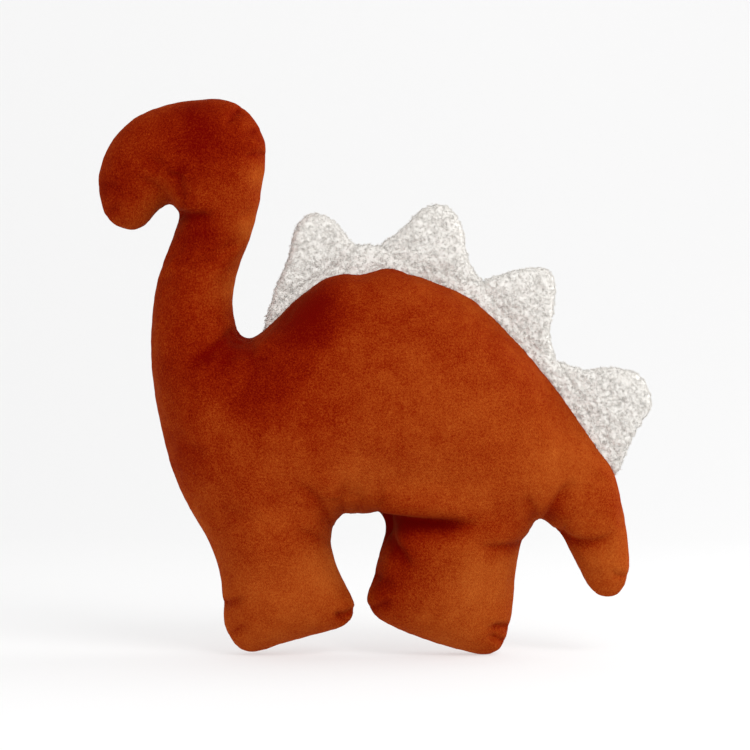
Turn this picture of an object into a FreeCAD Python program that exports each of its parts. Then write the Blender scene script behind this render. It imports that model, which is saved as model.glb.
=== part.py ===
"""Stuffed dinosaur: a two-panel velvet cushion with a sherpa strip of four spikes along its back.

The animal stands on the ground facing -X, with +Z up and its thickness along Y. The origin is on
the ground, midway along the animal. Two velvet panels meet at a seam in the plane y = 0. They are
divided where the toy bends: at the throat, the neck's base, the top of each leg and the tail's
root. Each of those zones has a left panel, a right panel and its own share of the filling.
Lengths are in millimetres.
"""
import FreeCAD, Part
import os

doc = FreeCAD.newDocument("StuffedDinosaur")
sizes = doc.addObject("Spreadsheet::Sheet", "Sizes")
next_row = 1


def cell(alias, value):
    """Keep one driving dimension in the sheet, under a name."""
    global next_row
    sizes.set(f"A{next_row}", alias)
    sizes.set(f"B{next_row}", str(value))
    sizes.setAlias(f"B{next_row}", alias)
    next_row += 1


# ---- driving dimensions -------------------------------------------------------------------------

cell("velvet", 2.0)  # thickness of a velvet panel with its backing and nap
cell("stuffing_gap", 0.3)  # between a panel's inside and the filling
cell("hinge_gap", 0.4)  # running clearance where two zones meet
cell("seam", 0.05)  # half the line of thread between the two panels' edges
cell("reach", 210.0)  # longer than any zone
cell("half_depth", 80.0)  # deeper than any half of the toy
cell("pile", 2.4)  # thickness of a sherpa layer with its curls
cell("spike_half", 6.0)  # half a spike's thickness at its base
cell("slot_end", 3.5)  # how far a spike's slot runs past each end of its hem
cell("swing_end", 4.5)  # how far the strip's clear space runs past each end of a spike
cell("nape_x", -83)  # where the neck's own space ends behind it, above the shoulder
cell("nape_z", 250)  # height from which the neck's space is that wide
cell("thread", 0.45)  # radius of the closing thread
cell("stitch", 5.0)  # width of a closing stitch across the seam

# Each station is an ellipse across the cushion: where it meets the seam on the belly side
# (x, z), where it meets it on the back side (x, z), and the cushion's full thickness there.
STATIONS = {
    "neck": [
        (-138, 348, -88, 348, 44),
        (-140, 322, -84, 324, 50),
        (-149, 288, -96, 286, 50),
        (-158, 258, -104, 258, 53),
        (-161, 226, -92, 228, 60),
        (-159, 188, -75, 236, 73),
    ],
    "torso": [
        (-159, 188, -75, 236, 73),
        (-152, 150, -53, 258, 90),
        (-129, 112, -20, 273, 105),
        (-82, 100, 12, 277, 112),
        (-39, 104, 42, 270, 114),
        (4, 105, 71, 257, 110),
        (47, 100, 102, 228, 101),
        (87, 96, 131, 191, 85),
        (114, 97, 156, 154, 66),
        (130, 94, 172, 124, 50),
        (139, 80, 178, 102, 41),
        (150, 62, 182, 78, 32),
        (160, 46, 179, 52, 14),
    ],
    "head": [
        (-189, 309, -198, 325, 18),
        (-178, 306, -198.5, 344, 40),
        (-162, 314, -193, 364, 56),
        (-150, 323, -174, 384, 65),
        (-139, 318, -147, 397, 69),
        (-122, 316, -121, 400, 67),
        (-106, 317, -95, 392, 60),
        (-91, 324, -82, 375, 46),
        (-83, 335, -78, 359, 22),
    ],
    "front_leg": [
        (-128, 170, -38, 168, 88),
        (-139, 128, -30, 124, 86),
        (-130, 103, -27, 101, 80),
        (-119, 82, -31, 82, 76),
        (-110, 56, -26, 58, 74),
        (-107, 34, -16, 38, 68),
        (-103, 16, -18, 26, 54),
        (-98, -2, -40, 13, 30),
    ],
    "hind_leg": [
        (10, 172, 104, 170, 92),
        (7, 135, 121, 133, 88),
        (8, 103, 117, 103, 80),
        (8, 82, 106, 82, 78),
        (4, 62, 102, 62, 76),
        (-5, 40, 99, 38, 69),
        (-4, 27, 97, 18, 55),
        (22, 14, 90, -2, 30),
    ],
    "band": [
        (-72, 232, -78, 252, 9),
        (-54, 248, -60, 268, 11),
        (-32, 262, -36, 283, 11),
        (-2, 267, 0, 290, 11),
        (26, 265, 31, 286, 11),
        (55, 254, 62, 275, 11),
        (78, 242, 87, 262, 11),
        (102, 219, 114, 234, 11),
        (123, 197, 136, 210, 11),
        (141, 171, 154, 183, 11),
        (163, 138, 176, 147, 10),
    ],
}
# Which ends of a cushion the cloth closes: 1 at its first station, -1 at its last. The torso carries
# on from the neck's last station.
LOFT_ENDS = {
    "neck": (1, 0),
    "torso": (0, -1),
    "head": (1, -1),
    "front_leg": (1, -1),
    "hind_leg": (1, -1),
}

# Each bend: a point on its line, the line's direction in the side view in degrees from +X, and the
# radius of the round end that turns in it. Then, along the line from the point, where the round
# end starts and stops, and where the space beyond it starts and stops.
HINGES = {
    "neck": (-124, 228, 180, 31, -35, 81, -35, 81),
    "front_leg": (-87, 102.6, 0, 41.5, -63.5, 63.5, -63.5, 76),
    "hind_leg": (61.5, 102.6, 0, 41.5, -58.5, 56, -71.5, 56),
    "tail": (158.4, 91.4, 27.9, 22.5, -31, 31, -31, 31),
}
HINGE_CELLS = ("x", "z", "tilt", "round", "bar_from", "bar_to", "room_from", "room_to")
HEAD_HINGE = {"x": -113.5, "z": 318.8, "round": 29.5, "jaw_x": -146.5, "jaw_drop": 20}

# Each spike: the front and rear ends of its base line, and its tip.
SPIKES = {
    "spike_1": (-75, 255, -5, 291, -43, 318),
    "spike_2": (8, 291, 76.5, 265.5, 46, 325),
    "spike_3": (82, 258.5, 128.5, 213.5, 127, 277),
    "spike_4": (143, 200.5, 176.5, 140, 197.5, 191),
}
SPIKE_RISE = (0.0, 0.35, 0.68, 0.9, 1.0)
SPIKE_LENGTH = (1.0, 0.78, 0.5, 0.3, 0.14)
SPIKE_DEPTH = (0.96, 1.15, 1.0, 0.75, 0.45)
SPIKE_ROLL = 0.94  # share of the base line that the round hem takes

STITCH_PLACES = (-18, -14, -10, -6, -2)

for part_name, rows in STATIONS.items():
    for number, row in enumerate(rows):
        for quantity, value in zip(("belly_x", "belly_z", "back_x", "back_z", "deep"), row):
            cell(f"{part_name}_{number}_{quantity}", value)
for part_name, row in HINGES.items():
    for quantity, value in zip(HINGE_CELLS, row):
        cell(f"{part_name}_hinge_{quantity}", value)
for quantity, value in HEAD_HINGE.items():
    cell(f"head_hinge_{quantity}", value)
for part_name, row in SPIKES.items():
    for quantity, value in zip(("front_x", "front_z", "rear_x", "rear_z", "tip_x", "tip_z"), row):
        cell(f"{part_name}_{quantity}", value)
doc.recompute()


# ---- building blocks ----------------------------------------------------------------------------


def bind(thing, **formulas):
    """Bind properties to the sheet. A double underscore stands for a dot in a property's path."""
    for path, formula in formulas.items():
        thing.setExpression(path.replace("__", "."), formula)


def turn(thing, axis, angle):
    thing.Placement = FreeCAD.Placement(FreeCAD.Vector(), FreeCAD.Rotation(axis, angle))


def combine(kind, name, first, second):
    """A boolean of two things: Cut or Common."""
    thing = doc.addObject(f"Part::{kind}", name)
    thing.Base = first
    thing.Tool = second
    return thing


def fuse(name, things):
    thing = doc.addObject("Part::MultiFuse", name)
    thing.Shapes = things
    return thing


ALONG_Y = FreeCAD.Vector(0, 1, 0)
ALONG_X = FreeCAD.Vector(1, 0, 0)


def station(loft_name, source, number, inset, end):
    """One ellipse of a loft. inset draws it inwards, and end, where not 0, along the spine too."""
    s = f"Sizes.{source}_{number}_"
    ring = doc.addObject("Part::Ellipse", f"{loft_name}_{number}")
    turn(ring, ALONG_Y, 1)
    run = f"({s}back_x - {s}belly_x)"
    rise = f"({s}back_z - {s}belly_z)"
    width = f"sqrt({run} ^ 2 + {rise} ^ 2)"
    bind(
        ring,
        MajorRadius=f"{width} / 2 - {inset}",
        MinorRadius=f"{s}deep / 2 - {inset}",
        Placement__Rotation__Angle=f"-atan2({rise}; {run})",
        Placement__Base__x=f"({s}belly_x + {s}back_x) / 2 + {end} * {inset} * {rise} / {width}",
        Placement__Base__z=f"({s}belly_z + {s}back_z) / 2 - {end} * {inset} * {run} / {width}",
    )
    return ring


def loft(source, layer, inset):
    """A cushion through a part's stations, drawn in by inset all round and at its closed ends."""
    name = f"{source}_{layer}"
    last = len(STATIONS[source]) - 1
    ends = dict(zip((0, last), LOFT_ENDS.get(source, (0, 0))))
    thing = doc.addObject("Part::Loft", name)
    thing.Sections = [
        station(name, source, number, inset, ends.get(number, 0)) for number in range(last + 1)
    ]
    thing.Solid = True
    thing.Ruled = True
    return thing


def left_half(layer, inset):
    """The whole animal's left half at one depth in its cloth."""
    room = doc.addObject("Part::Box", f"{layer}_room")
    bind(
        room,
        Length="4 * Sizes.reach",
        Width="Sizes.half_depth",
        Height="4 * Sizes.reach",
        Placement__Base__x="-2 * Sizes.reach",
        Placement__Base__y="-Sizes.half_depth - Sizes.seam",
        Placement__Base__z=inset,
    )
    halves = [
        combine("Common", f"{source}_{layer}_half", loft(source, layer, inset), room)
        for source in LOFT_ENDS
    ]
    return fuse(f"{layer}_half", halves)


def mirrored(name, thing):
    """The right-hand twin of a left-hand piece."""
    twin = doc.addObject("Part::Mirroring", name)
    twin.Source = thing
    twin.Normal = ALONG_Y
    return twin


def along(hinge, distance):
    """Formulas for the x and z of a point on a bend's line."""
    s = f"Sizes.{hinge}_hinge_"
    return (
        f"{s}x + ({distance}) * cos({s}tilt * 1deg)",
        f"{s}z + ({distance}) * sin({s}tilt * 1deg)",
    )


def bend_space(name, hinge, gap, spare):
    """The space beyond a bend: a round bar on its line, and the half-space on the moving side.

    gap is taken off the bar's radius, and spare is added to both ends of the line.
    """
    s = f"Sizes.{hinge}_hinge_"
    bar = doc.addObject("Part::Cylinder", f"{name}_bar")
    bar_x, bar_z = along(hinge, f"{s}bar_from - {spare}")
    turn(bar, ALONG_Y, 90)
    bind(
        bar,
        Radius=f"{s}round - {gap}",
        Height=f"{s}bar_to - {s}bar_from + 2 * {spare}",
        Placement__Rotation__Angle=f"90 - {s}tilt",
        Placement__Base__x=bar_x,
        Placement__Base__z=bar_z,
    )
    room = doc.addObject("Part::Box", f"{name}_room")
    room_x, room_z = along(hinge, f"{s}room_from - {spare}")
    turn(room, ALONG_Y, 90)
    bind(
        room,
        Length="Sizes.reach",
        Width="2 * Sizes.half_depth",
        Height=f"{s}room_to - {s}room_from + 2 * {spare}",
        Placement__Rotation__Angle=f"90 - {s}tilt",
        Placement__Base__x=room_x,
        Placement__Base__y="-Sizes.half_depth",
        Placement__Base__z=room_z,
    )
    return fuse(name, [bar, room])


def nape(name, spare):
    """The neck's space further up, where its back edge leans out over the shoulder."""
    s = "Sizes.neck_hinge_"
    room = doc.addObject("Part::Box", name)
    bind(
        room,
        Length=f"Sizes.nape_x - {s}x + {s}bar_to + {spare}",
        Width="2 * Sizes.half_depth",
        Height="Sizes.reach",
        Placement__Base__x=f"{s}x - {s}bar_to",
        Placement__Base__y="-Sizes.half_depth",
        Placement__Base__z=f"Sizes.nape_z - {spare}",
    )
    return room


def head_space(name, gap):
    """The head's space: a round bar across the neck, everything above it, and the jaw."""
    s = "Sizes.head_hinge_"
    round_end = doc.addObject("Part::Cylinder", f"{name}_bar")
    turn(round_end, FreeCAD.Vector(1, 1, 1), -120)
    bind(
        round_end,
        Radius=f"{s}round - {gap}",
        Height="2 * Sizes.half_depth",
        Placement__Base__x=f"{s}x",
        Placement__Base__y="-Sizes.half_depth",
        Placement__Base__z=f"{s}z",
    )
    above = doc.addObject("Part::Box", f"{name}_above")
    bind(
        above,
        Length="Sizes.reach",
        Width="2 * Sizes.half_depth",
        Height="Sizes.reach",
        Placement__Base__x=f"{s}x - Sizes.reach / 2",
        Placement__Base__y="-Sizes.half_depth",
        Placement__Base__z=f"{s}z",
    )
    jaw = doc.addObject("Part::Box", f"{name}_jaw")
    bind(
        jaw,
        Length="Sizes.reach / 2",
        Width="2 * Sizes.half_depth",
        Height=f"{s}jaw_drop",
        Placement__Base__x=f"{s}jaw_x - Sizes.reach / 2",
        Placement__Base__y="-Sizes.half_depth",
        Placement__Base__z=f"{s}z - {s}jaw_drop",
    )
    return fuse(name, [round_end, above, jaw])


pieces = {}


def keep(name, thing):
    """Name a finished piece: the label is also the name of its file."""
    thing.Label = name
    pieces[name] = thing


# ---- velvet panels and filling, zone by zone ----------------------------------------------------

outer = left_half("outer", "0")
lining = left_half("lining", "Sizes.velvet")
stuffing = left_half("stuffing", "(Sizes.velvet + Sizes.stuffing_gap)")
cloth = combine("Cut", "cloth", outer, lining)

sockets = {name: bend_space(f"{name}_socket", name, "0", "Sizes.hinge_gap") for name in HINGES}
sockets["neck"] = fuse("neck_socket_whole", [sockets["neck"], nape("neck_socket_nape", "Sizes.hinge_gap")])
sockets["head"] = head_space("head_socket", "0")
spaces = {name: bend_space(f"{name}_space", name, "Sizes.hinge_gap", "0") for name in HINGES}
spaces["neck"] = fuse("neck_space_whole", [spaces["neck"], nape("neck_space_nape", "0")])
spaces["head"] = head_space("head_space", "Sizes.hinge_gap")


def zone(name, whole, zone_name):
    """The share of the animal's left half, or of its cloth, that belongs to one zone."""
    if zone_name == "torso":
        for hinge in sockets:
            whole = combine("Cut", f"{name}_without_{hinge}", whole, sockets[hinge])
        return whole
    share = combine("Common", f"{name}_share", whole, spaces[zone_name])
    if zone_name == "neck":
        return combine("Cut", name, share, sockets["head"])
    return share


for zone_name in ("head", "neck", "torso", "front_leg", "hind_leg", "tail"):
    panel = zone(f"{zone_name}_panel", cloth, zone_name)
    keep(f"{zone_name}_left_panel", panel)
    keep(f"{zone_name}_right_panel", mirrored(f"{zone_name}_panel_twin", panel))
    lobe = zone(f"{zone_name}_lobe", stuffing, zone_name)
    bind(lobe, Placement__Base__y="Sizes.seam")
    twin = mirrored(f"{zone_name}_lobe_twin", lobe)
    keep(f"{zone_name}_fill", fuse(f"{zone_name}_filling", [lobe, twin]))


# ---- sherpa strip and spikes --------------------------------------------------------------------


def spike_ring(name, spike, number, inset):
    """One ellipse across a spike, parallel to its base line."""
    s = f"Sizes.{spike}_"
    run = f"({s}rear_x - {s}front_x)"
    rise = f"({s}rear_z - {s}front_z)"
    width = f"sqrt({run} ^ 2 + {rise} ^ 2)"
    share = SPIKE_RISE[number]
    drop = f"{inset} / 40" if share == 1 else "0"
    middle_x = f"({s}front_x + {s}rear_x) / 2"
    middle_z = f"({s}front_z + {s}rear_z) / 2"
    ring = doc.addObject("Part::Ellipse", name)
    turn(ring, ALONG_Y, 1)
    bind(
        ring,
        MajorRadius=f"{width} / 2 * {SPIKE_LENGTH[number]} - {inset}",
        MinorRadius=f"Sizes.spike_half * {SPIKE_DEPTH[number]} - {inset} * {SPIKE_DEPTH[number]}",
        Placement__Rotation__Angle=f"-atan2({rise}; {run})",
        Placement__Base__x=f"{middle_x} + ({share} - {drop}) * ({s}tip_x - {middle_x})",
        Placement__Base__z=f"{middle_z} + ({share} - {drop}) * ({s}tip_z - {middle_z})",
    )
    return ring


def spike_hem(name, spike, radius, spare):
    """The round hem along a spike's base line, which is the line that the spike flops about."""
    s = f"Sizes.{spike}_"
    run = f"({s}rear_x - {s}front_x)"
    rise = f"({s}rear_z - {s}front_z)"
    hem = doc.addObject("Part::Cylinder", name)
    turn(hem, ALONG_Y, 90)
    bind(
        hem,
        Radius=radius,
        Height=f"sqrt({run} ^ 2 + {rise} ^ 2) * {SPIKE_ROLL} + 2 * {spare}",
        Placement__Rotation__Angle=f"90deg - atan2({rise}; {run})",
        Placement__Base__x=(
            f"({s}front_x + {s}rear_x) / 2 - {run} / 2 * {SPIKE_ROLL}"
            f" - {spare} * cos(atan2({rise}; {run}))"
        ),
        Placement__Base__z=(
            f"({s}front_z + {s}rear_z) / 2 - {rise} / 2 * {SPIKE_ROLL}"
            f" - {spare} * sin(atan2({rise}; {run}))"
        ),
    )
    return hem


def spike_solid(name, spike, inset):
    """A spike drawn in by inset: a loft from its hem to its rounded tip."""
    flap = doc.addObject("Part::Loft", f"{name}_flap")
    flap.Sections = [
        spike_ring(f"{name}_ring_{number}", spike, number, inset)
        for number in range(len(SPIKE_RISE))
    ]
    flap.Solid = True
    flap.Ruled = False
    hem = spike_hem(f"{name}_hem", spike, f"Sizes.spike_half - {inset}", f"-{inset}")
    return fuse(name, [flap, hem])


def swing(spike):
    """The space above a spike's base line, which the strip leaves free so that the spike can flop."""
    s = f"Sizes.{spike}_"
    run = f"({s}rear_x - {s}front_x)"
    rise = f"({s}rear_z - {s}front_z)"
    slope = f"atan2({rise}; {run})"
    room = doc.addObject("Part::Box", f"{spike}_swing")
    turn(room, ALONG_Y, 1)
    bind(
        room,
        Length=f"sqrt({run} ^ 2 + {rise} ^ 2) + 2 * Sizes.swing_end",
        Width="2 * Sizes.half_depth",
        Height="Sizes.half_depth",
        Placement__Rotation__Angle=f"-{slope}",
        Placement__Base__x=f"{s}front_x - Sizes.swing_end * cos({slope})",
        Placement__Base__y="-Sizes.half_depth",
        Placement__Base__z=f"{s}front_z - Sizes.swing_end * sin({slope})",
    )
    return room


left_room = doc.addObject("Part::Box", "left_room")
bind(
    left_room,
    Length="4 * Sizes.reach",
    Width="Sizes.half_depth",
    Height="4 * Sizes.reach",
    Placement__Base__x="-2 * Sizes.reach",
    Placement__Base__y="-Sizes.half_depth - Sizes.seam",
)
for spike in SPIKES:
    whole = spike_solid(f"{spike}_whole", spike, "0")
    hollow = spike_solid(f"{spike}_hollow", spike, "Sizes.pile")
    shell = combine("Cut", f"{spike}_shell", whole, hollow)
    layer = combine("Common", f"{spike}_layer", shell, left_room)
    keep(f"{spike}_left_pile", layer)
    keep(f"{spike}_right_pile", mirrored(f"{spike}_layer_twin", layer))
    keep(f"{spike}_fill", spike_solid(f"{spike}_filling", spike, "(Sizes.pile + 0.2)"))

band_half = combine("Common", "band_half", loft("band", "strip", "0"), left_room)
strip = combine("Cut", "strip_off_torso", band_half, outer)
strip = combine("Cut", "strip_off_filling", strip, stuffing)
for spike in SPIKES:
    slot = spike_hem(f"{spike}_slot", spike, "Sizes.spike_half + Sizes.hinge_gap", "Sizes.slot_end")
    strip = combine("Cut", f"strip_off_{spike}", strip, fuse(f"{spike}_clear", [slot, swing(spike)]))
keep("back_strip_left", strip)
keep("back_strip_right", mirrored("strip_twin", strip))


# ---- the ladder stitches that close the belly ---------------------------------------------------


def stitch(number, x):
    """A thread that crosses the belly seam, and shows on the outside of it."""
    front = "Sizes.torso_4_belly_"
    rear = "Sizes.torso_5_belly_"
    thread = doc.addObject("Part::Cylinder", f"stitch_{number}")
    turn(thread, ALONG_X, -90)
    bind(
        thread,
        Radius="Sizes.thread",
        Height="Sizes.stitch",
        Placement__Base__x=str(x),
        Placement__Base__y="-Sizes.stitch / 2",
        Placement__Base__z=(
            f"{front}z + ({rear}z - {front}z) * ({x} - {front}x) / ({rear}x - {front}x)"
            " - Sizes.thread"
        ),
    )
    return thread


threads = fuse("threads", [stitch(number, x) for number, x in enumerate(STITCH_PLACES)])
keep("closing_stitches", threads)


# ---- checks and files ---------------------------------------------------------------------------

CRUMB = 0.01  # a solid under this share of its piece's largest one is a crumb left by a boolean


def whole_solids(shape):
    """A piece's solids, without the crumbs that cuts leave where two surfaces graze."""
    largest = max(solid.Volume for solid in shape.Solids)
    return Part.makeCompound([solid for solid in shape.Solids if solid.Volume > CRUMB * largest])


doc.recompute()
for thing in doc.Objects:
    bad_state = {"Invalid", "Error"} & set(thing.State)
    if bad_state:
        raise RuntimeError(f"{thing.Name} is {bad_state}")
os.makedirs("parts", exist_ok=True)
for name, thing in pieces.items():
    if thing.Shape.isNull() or not thing.Shape.isValid() or not thing.Shape.Solids:
        raise RuntimeError(f"{name} has no valid solid")
    whole_solids(thing.Shape).exportStep(f"parts/{name}.step")
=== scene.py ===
"""A stuffed toy dinosaur: two rust velvet side panels and a cream sherpa back strip with four spikes.

Tables are in millimetres, as (x, z) in the plane of the panels. Meshes are made in metres.
The near side faces -Y. Each panel is one sheet, shared out between the bodies that it covers.
"""

import math

import bmesh
import bpy
import numpy as np
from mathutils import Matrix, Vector, bvhtree, kdtree, noise
from mathutils.geometry import delaunay_2d_cdt


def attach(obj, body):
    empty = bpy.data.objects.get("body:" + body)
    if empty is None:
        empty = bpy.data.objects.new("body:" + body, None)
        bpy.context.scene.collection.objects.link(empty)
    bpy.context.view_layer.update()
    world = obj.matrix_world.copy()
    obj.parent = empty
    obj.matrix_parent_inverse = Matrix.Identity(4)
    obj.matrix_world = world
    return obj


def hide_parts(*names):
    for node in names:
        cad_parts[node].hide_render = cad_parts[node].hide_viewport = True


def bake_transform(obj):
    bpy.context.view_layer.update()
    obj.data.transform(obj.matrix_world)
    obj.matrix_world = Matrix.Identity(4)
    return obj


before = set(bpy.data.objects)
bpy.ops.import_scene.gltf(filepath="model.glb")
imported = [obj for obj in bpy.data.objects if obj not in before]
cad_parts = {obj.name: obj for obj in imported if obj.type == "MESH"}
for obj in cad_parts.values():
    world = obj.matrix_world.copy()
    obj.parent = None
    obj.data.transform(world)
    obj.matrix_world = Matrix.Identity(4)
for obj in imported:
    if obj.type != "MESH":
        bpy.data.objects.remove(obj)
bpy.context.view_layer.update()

MM = 0.001

# ---- the pattern -------------------------------------------------------------------------------

OUTLINE = (
    (-126, 399), (-110, 399), (-96, 394), (-88, 386), (-82, 376), (-79, 365), (-79, 353),
    (-82, 336), (-85, 319), (-90, 301), (-97, 283), (-102, 264), (-103, 248), (-101, 236),
    (-92, 227), (-81, 231), (-69, 242), (-55, 256), (-39, 268), (-25, 273), (-9, 273), (8, 278),
    (22, 275), (42, 268), (60, 261), (76, 251), (94, 234), (112, 214), (131, 191), (147, 168),
    (163, 145), (172, 130), (177, 111), (181, 91), (183, 70), (182, 55), (176, 43.5), (166, 41.3),
    (157, 46.5), (147, 65), (136, 84), (125, 96), (117, 98), (110, 89), (104, 73), (101, 55),
    (99.5, 36), (96, 15.5), (90, 3.5), (80, 0), (63, 3), (39, 10), (16, 19), (2, 27), (-3.8, 34),
    (-4.8, 41.5), (-1.5, 52), (4, 71), (8, 92), (3, 103), (-10, 105), (-22, 103), (-30, 94),
    (-32, 81), (-28, 64), (-20, 47), (-14.5, 34), (-19, 22), (-41, 15), (-68, 7.5), (-87.5, 1.5),
    (-99, 6), (-107, 19.5), (-108.5, 39), (-111, 59), (-119, 82), (-132, 104), (-143, 127),
    (-150, 151), (-157, 182), (-160, 212), (-160, 238), (-157, 262), (-149, 288), (-141, 312),
    (-142, 322), (-149, 326), (-158, 319), (-168, 308), (-180, 307), (-192, 314), (-197, 328),
    (-198, 343), (-193, 361), (-184, 375), (-168, 388), (-147, 396),
)

# Half thickness of the stuffed body: x, z, half.
DEPTHS = (
    (-140, 356, 33), (-175, 345, 25), (-122, 290, 25), (-130, 258, 29), (-122, 222, 37),
    (-85, 185, 51), (-20, 190, 56), (50, 190, 55), (105, 165, 43), (138, 130, 32), (158, 95, 24),
    (168, 62, 16), (-85, 115, 44), (-70, 60, 38), (-62, 28, 28), (55, 110, 44), (52, 62, 38),
    (50, 28, 28),
)

# Creases of the side panels: points, depth, width, height of the lip above the crease. The depth also sets
# the painted shade in each crease.
FOLDS = (
    (((-141, 318), (-132, 315.5), (-120, 315), (-109, 317)), 3.6, 4.0, 1.6),
    (((-145, 325), (-152, 333), (-162, 339), (-172, 342)), 1.7, 4.0, 0.8),
    (((-135, 328), (-138, 342), (-137, 356)), 1.8, 3.6, 0.8),
    (((-150, 350), (-158, 354), (-166, 350)), 1.7, 5.0, 0.8),
    (((-101, 233), (-112, 222), (-124, 214), (-138, 208)), 2.8, 5.0, 1.3),
    (((-98, 228), (-104, 213), (-114, 200), (-126, 193)), 1.9, 5.0, 1.0),
    (((-89, 228), (-86, 213), (-90, 200)), 1.4, 5.0, 0.7),
    (((3, 100), (14, 98.5), (30, 97.5), (48, 97), (64, 96), (82, 94)), 9.5, 5.6, 5.2),
    (((112, 82), (98, 80), (84, 79.5), (68, 82)), 2.6, 4.0, 1.2),
    (((8, 92), (14, 82), (22, 72), (30, 60)), 3.0, 4.2, 1.2),
    (((-3, 60), (6, 55), (16, 52)), 1.6, 4.5, 0.6),
    (((133, 89), (141, 84), (152, 82), (164, 84), (177, 92)), 3.6, 4.2, 1.6),
    (((122, 98), (127, 108), (136, 121), (144, 129)), 3.0, 4.6, 1.2),
    (((116, 99), (111, 110), (103, 119)), 1.8, 4.0, 0.8),
    (((-31, 95), (-37, 110), (-47, 120), (-60, 126)), 2.0, 4.4, 0.9),
    (((-22, 104), (-23, 116), (-20, 130)), 1.5, 3.8, 0.6),
    (((-12, 105), (-10, 116), (-12, 126)), 0.8, 3.6, 0.3),
    (((4, 104), (6, 116), (3, 128)), 0.8, 3.6, 0.3),
    (((-33, 82), (-46, 88), (-58, 96)), 1.5, 4.0, 0.7),
    (((-14, 33), (-21, 30), (-30, 31)), 3.8, 2.6, 0.6),
    (((-18, 23), (-24, 27), (-29, 33)), 2.0, 2.0, 0.4),
    (((98, 20), (90, 22), (78, 20)), 3.6, 3.0, 0.8),
    (((94, 10), (86, 14), (79, 14)), 2.4, 2.4, 0.5),
    (((-109, 38), (-100, 40), (-92, 45)), 2.8, 2.8, 0.6),
    (((-104, 15), (-96, 20), (-90, 27)), 1.8, 2.6, 0.4),
    (((183, 57), (176, 58), (168, 62)), 2.0, 2.4, 0.4),
    (((-97, 393), (-102, 386), (-106, 377)), 2.2, 3.0, 0.6),
    (((-84, 377), (-91, 374), (-98, 370)), 1.8, 3.0, 0.5),
    (((-80, 361), (-87, 359), (-95, 356)), 1.8, 3.0, 0.5),
    (((-6, 34), (4, 36), (14, 42)), 2.4, 3.0, 0.6),
    (((-197, 338), (-190, 338), (-181, 336)), 1.2, 3.0, 0.3),
    (((-193, 316), (-186, 321), (-180, 327)), 1.4, 3.0, 0.3),
)

# Painted sheen and shade of the velvet: the nap's direction is real, but the brightness painted from it
# stands in for light, brighter where the nap catches the light and darker where it faces away: x, z, reach,
# amount.
NAP_SHEEN_AND_SHADE = (
    (-150, 368, 44, -0.42), (-182, 338, 22, -0.30), (-125, 392, 26, -0.30), (-100, 362, 30, -0.30),
    (-172, 318, 18, 0.10), (-154, 336, 12, 0.22), (-140, 346, 9, -0.25), (-84, 345, 10, 0.52),
    (-90, 305, 10, 0.52), (-100, 262, 10, 0.50), (-128, 295, 26, -0.55), (-142, 250, 24, -0.34),
    (-112, 240, 16, -0.10), (-122, 195, 36, -0.34), (-52, 250, 30, -0.98), (-75, 205, 34, -0.40),
    (5, 262, 30, -0.16), (30, 262, 14, 0.16), (-135, 140, 24, -0.26), (-20, 175, 38, -0.04),
    (80, 165, 50, 0.14), (140, 145, 34, 0.24), (168, 66, 26, 0.46), (-36, 60, 22, 0.50),
    (-95, 60, 24, 0.14), (-18, 128, 20, 0.36), (92, 55, 24, 0.46), (20, 80, 22, -0.42),
    (12, 48, 16, -0.34), (50, 116, 24, 0.20), (-60, 25, 34, 0.36), (62, 22, 30, 0.30),
    (60, 60, 26, 0.16), (105, 200, 24, -0.02), (118, 108, 18, 0.12), (55, 215, 26, -0.14),
)

# Zones that bend: name, the body before the bend and the body after it, a point on the hinge,
# the direction from the first body to the second, and where along it the bend starts and ends.
ZONES = (
    ("head", "neck", "head", (-113.5, 318.8), (-0.6, 0.8), -7, 18),
    ("neck", "torso", "neck", (-124, 228), (-0.498, 0.867), -4, 30),
    ("front_leg", "torso", "front_leg", (-87, 102.6), (-0.349, -0.937), -22, 14),
    ("hind_leg", "torso", "hind_leg", (61.5, 102.6), (0, -1), 5, 38),
    ("tail", "torso", "tail", (158.4, 91.4), (0.468, -0.884), -15, 19),
)
# How far a zone reaches past its bend, and the lines that part a zone from its neighbours.
BEND_MARGIN = 2.5
NAPE_X = -88
SHOULDER_TOP_Z = 285
LEG_GAP_X = -10.5
FRONT_LEG_TOP_Z = 170
TAIL_FROM_X = 120

# Spikes: name, front and rear end of the line that they flop about, outline.
SPIKES = (
    ("spike_1", (-75, 255), (-5, 291), (
        (-78, 240), (-74.5, 251), (-71, 264), (-65, 277), (-61, 288), (-58.7, 298.6), (-55.8, 307),
        (-51.4, 314), (-45, 317.3), (-36.3, 315.9), (-29.8, 312.3), (-24, 306.5), (-19, 299.3),
        (-13.2, 295), (-3, 292), (-14, 282), (-34, 273), (-56, 260), (-68, 249))),
    ("spike_2", (8, 291), (76.5, 265.5), (
        (4, 293), (15.7, 302.2), (24.4, 310.1), (33, 318.8), (41.7, 323.1), (50.4, 323.1),
        (56.9, 318.8), (61.2, 312.3), (64, 302.9), (65.5, 292.8), (68.4, 282), (72.7, 274),
        (79, 267), (72, 258), (50, 270), (26, 278), (7, 283))),
    ("spike_3", (82, 258.5), (128.5, 213.5), (
        (77, 266), (85, 271.1), (93.7, 273.3), (102.3, 276.2), (111, 277.6), (119.7, 278.3),
        (126.2, 275.5), (129.8, 267.5), (129.8, 256.7), (128.3, 244.4), (126.2, 233.6),
        (127.5, 222), (130, 212), (124, 207), (108, 226), (92, 244), (80, 256))),
    ("spike_4", (143, 200.5), (176.5, 140), (
        (134, 209), (139.2, 208), (147.1, 205.4), (155.8, 204.7), (167.3, 206.1), (177.4, 205.4),
        (187.5, 202.5), (194.8, 196), (198.4, 186.6), (199.1, 177.3), (194.8, 170), (189, 161.4),
        (183.9, 151.3), (180.3, 142.6), (176.5, 135), (170.5, 137), (160, 158), (148, 178),
        (137, 194))),
)
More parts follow.
